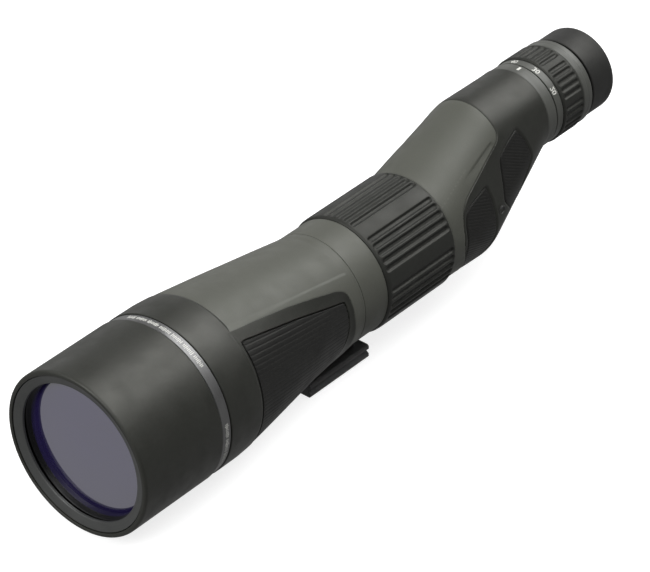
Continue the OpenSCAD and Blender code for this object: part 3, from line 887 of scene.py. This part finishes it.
def index_dash():
    """The raised mark on the fixed band that the zoom figures are read against."""
    bar = bpy.data.meshes.new("index_dash")
    shape = bmesh.new()
    bmesh.ops.create_grid(shape, x_segments=8, y_segments=10, size=1)
    made = bmesh.ops.extrude_face_region(shape, geom=shape.faces[:])
    for item in made["geom"]:
        if isinstance(item, bmesh.types.BMVert):
            item.co.z += 1
    for v in shape.verts:
        v.co.x = v.co.x * INDEX_HALF_WIDE
        v.co.y = INDEX_S + v.co.y * INDEX_HALF_LONG
        v.co.z -= 0.5
    bmesh.ops.recalc_face_normals(shape, faces=shape.faces[:])
    shape.to_mesh(bar)
    shape.free()
    wrapped("index_dash", bar, INDEX_R, 0.05, "scope", ["index_mark"])


def eyepiece():
    revolve("index_band",
            [(25, 386.1), (27.6, 386.1, 0.15), (27.8, 386.4, 0.2), (27.8, 394.0, 0.2),
             (27.55, 394.35, 0.15), (25, 394.35)],
            [(24.1, 394.3), (24.1, 386.2)],
            RING_METAL, "scope", "saddle_metal", ["index_ring"], cols=360, step=0.4,
            axis=EYE_H)
    index_dash()
    revolve("zoom_scale_band",
            [(24.8, 395.4), (27.3, 395.4, 0.15), (27.55, 395.75, 0.2), (27.6, 400.7, 0.2),
             (27.4, 400.95, 0.15), (25, 400.95)],
            [(24.1, 400.9), (24.1, 395.5)],
            RING_METAL, "zoom_ring", "saddle_metal", ["zoom_scale_ring"], cols=360, step=0.4,
            axis=EYE_H)
    for text, degrees in ZOOM_FIGURES:
        numeral(text, degrees)
    revolve("zoom_grip",
            [(27.1, 401.2), (27.8, 401.2, 0.1), (28.6, 402.0, 0.4), (28.6, 420.7, 0.4),
             (28.1, 421.25, 0.2), (27.1, 421.25)],
            [(26.4, 421.25), (26.4, 401.2)],
            GRIP, "zoom_ring", "olive_armour", ["zoom_ring_grip"], cols=840, step=0.35,
            relief=zoom_relief, axis=EYE_H)
    revolve("zoom_end_band",
            [(25, 421.5), (27.9, 421.5, 0.15), (28.2, 421.85, 0.2), (28.2, 429.2, 0.3),
             (27.8, 429.75, 0.2), (25, 429.75)],
            [(24.1, 429.7), (24.1, 421.6)],
            RING_METAL, "zoom_ring", "saddle_metal", ["zoom_end_ring"], cols=320, step=0.2,
            axis=EYE_H, relief=end_ring_relief)
    revolve("eyecup_moulding",
            [(25.3, 432.0), (26.9, 432.0, 0.3), (27.3, 432.5, 0.4), (27.3, 451.0, 1.2),
             (26.4, 453.3, 1.0), (24.6, 453.5, 0.8), (21.4, 453.3, 0.8), (19.9, 452.6, 0.8),
             (19.6, 450.8, 0.3), (19.6, 450.35)],
            [(25.2, 450.35), (25.2, 440)],
            CUP_RUBBER, "eyecup", "eyecup_rubber", ["eyecup_rubber"], cols=320, step=0.8,
            axis=EYE_H)
    glass_disc("eye_glass", "eye_lens", EYE_GLASS, 17.9, 441.0, 443.6, 436.2, EYE_H, 1)


# ---- foot ----------------------------------------------------------------------------


FLAT_DEGREES, SHARP_DEGREES, SHADE_DEGREES = 2, 28, 32


def bevelled(name, node, width_mm):
    """A copy of a foot part's CAD solid with its hard edges broken."""
    shape = bmesh.new()
    shape.from_mesh(frame["nodes"][node].data)
    bmesh.ops.remove_doubles(shape, verts=shape.verts[:], dist=1e-6)
    bmesh.ops.dissolve_limit(shape, angle_limit=math.radians(FLAT_DEGREES), verts=shape.verts[:],
                             edges=shape.edges[:])
    sharp = [e for e in shape.edges
             if len(e.link_faces) == 2 and e.calc_face_angle(0) > math.radians(SHARP_DEGREES)]
    bmesh.ops.bevel(shape, geom=sharp, offset=width_mm * MM, segments=3, profile=0.5,
                    affect="EDGES", clamp_overlap=True)
    bmesh.ops.triangulate(shape, faces=[f for f in shape.faces if len(f.verts) > 4])
    mesh = bpy.data.meshes.new(name)
    shape.to_mesh(mesh)
    shape.free()
    mesh.shade_smooth()
    mesh.set_sharp_from_angle(angle=math.radians(SHADE_DEGREES))
    place(name, mesh, FOOT_BLACK, "scope", "foot_black", [node])


def foot():
    bevelled("foot_rail", "mount_foot", 0.45)
    bevelled("foot_stem", "foot_pedestal", 0.5)


# ---- studio --------------------------------------------------------------------------

CAMERA_AT = (1.07028, -1.26269, 1.21964)
CAMERA_AZIMUTH, CAMERA_ELEVATION = 40.10, 35.08
CAMERA_LENS, SENSOR_WIDTH = 193.85, 36.0
CLIP_NEAR, CLIP_FAR = 0.05, 30.0


def camera():
    data = bpy.data.cameras.new("camera")
    data.lens, data.sensor_width = CAMERA_LENS, SENSOR_WIDTH
    data.clip_start, data.clip_end = CLIP_NEAR, CLIP_FAR
    eye = bpy.data.objects.new("camera", data)
    eye.location = CAMERA_AT
    eye.rotation_euler = (math.radians(90 - CAMERA_ELEVATION), 0, math.radians(CAMERA_AZIMUTH))
    bpy.context.scene.collection.objects.link(eye)
    bpy.context.scene.camera = eye


def area_light(name, at, aim, size, power):
    data = bpy.data.lights.new(name, "AREA")
    data.shape, data.size, data.size_y, data.energy = "RECTANGLE", size[0], size[1], power
    lamp = bpy.data.objects.new(name, data)
    lamp.location = at
    direction = np.array(aim, float) - np.array(at, float)
    turn = math.atan2(direction[0], -direction[1])
    tilt = math.atan2(math.hypot(direction[0], direction[1]), -direction[2])
    lamp.rotation_euler = (tilt, 0, math.pi + turn)
    bpy.context.scene.collection.objects.link(lamp)


def by_ray(tree, socket, seen, mirror, light):
    """A socket with one value where it is seen, one in reflections and one as soft light."""
    path = tree.nodes.new("ShaderNodeLightPath")
    value = None
    for ray, low, high in (("Is Diffuse Ray", mirror, light), ("Is Camera Ray", None, seen)):
        choose = tree.nodes.new("ShaderNodeMapRange")
        tree.links.new(path.outputs[ray], choose.inputs["Value"])
        if value is None:
            choose.inputs["To Min"].default_value = low
        else:
            tree.links.new(value, choose.inputs["To Min"])
        choose.inputs["To Max"].default_value = high
        value = choose.outputs["Result"]
    tree.links.new(value, socket)


# Brightness where it is seen, in reflections and as soft light
ROOM = (1.0, 0.12, 0.06)
FLOOR_TONE = (0.42, 0.0, 0.12)
FLOOR_GLOW = (0.8, 0.36, 0.0)
FLOOR_HALF, FLOOR_DROP = 6, 0.0002  # metres
# Name, place, target, size, power
LAMPS = (
    ("key", (0.16, 1.05, 1.35), (0, 0.02, 0.06), (1.3, 1.3), 25),
    ("overhead", (0.45, -0.15, 1.5), (0, 0, 0.06), (1.0, 1.2), 19),
    ("rim", (-1.5, 1.2, 0.35), (0, 0, 0.05), (1.6, 0.7), 3),
    ("side_fill", (-1.3, -0.3, 1.0), (0, 0, 0.06), (1.0, 1.0), 4),
    ("front_fill", (-0.3, -1.5, 0.9), (0, 0, 0.06), (1.0, 1.0), 22),
)


def studio():
    bpy.context.scene.view_settings.view_transform = "Standard"
    world = bpy.data.worlds.new("studio")
    world.use_nodes = True
    background = world.node_tree.nodes["Background"]
    background.inputs["Color"].default_value = (1, 1, 1, 1)
    by_ray(world.node_tree, background.inputs["Strength"], *ROOM)
    bpy.context.scene.world = world
    mesh = bpy.data.meshes.new("floor")
    corners = [(FLOOR_HALF * x, FLOOR_HALF * y, 0) for x, y in ((-1, -1), (1, -1), (1, 1), (-1, 1))]
    mesh.from_pydata(corners, [], [(0, 1, 2, 3)])
    floor = bpy.data.objects.new("floor", mesh)
    floor.location.z = -FLOOR_DROP
    paint = Finish("floor_paint", srgb(244, 244, 244), 0.9)
    shade = paint.add("ShaderNodeCombineColor")
    for channel in shade.inputs:
        by_ray(paint.tree, channel, *FLOOR_TONE)
    paint.link(shade.outputs["Color"], paint.shader.inputs["Base Color"])
    paint.set("IOR", 1.0)
    paint.set("Emission Color", (1, 1, 1, 1))
    by_ray(paint.tree, paint.shader.inputs["Emission Strength"], *FLOOR_GLOW)
    mesh.materials.append(paint.mat)
    bpy.context.scene.collection.objects.link(floor)
    for lamp in LAMPS:
        area_light(*lamp)


finish_cad_nodes()
hood()
name_band()
objective()
barrel()
collar()
focus_ring()
housing()
eyepiece()
foot()
camera()
studio()
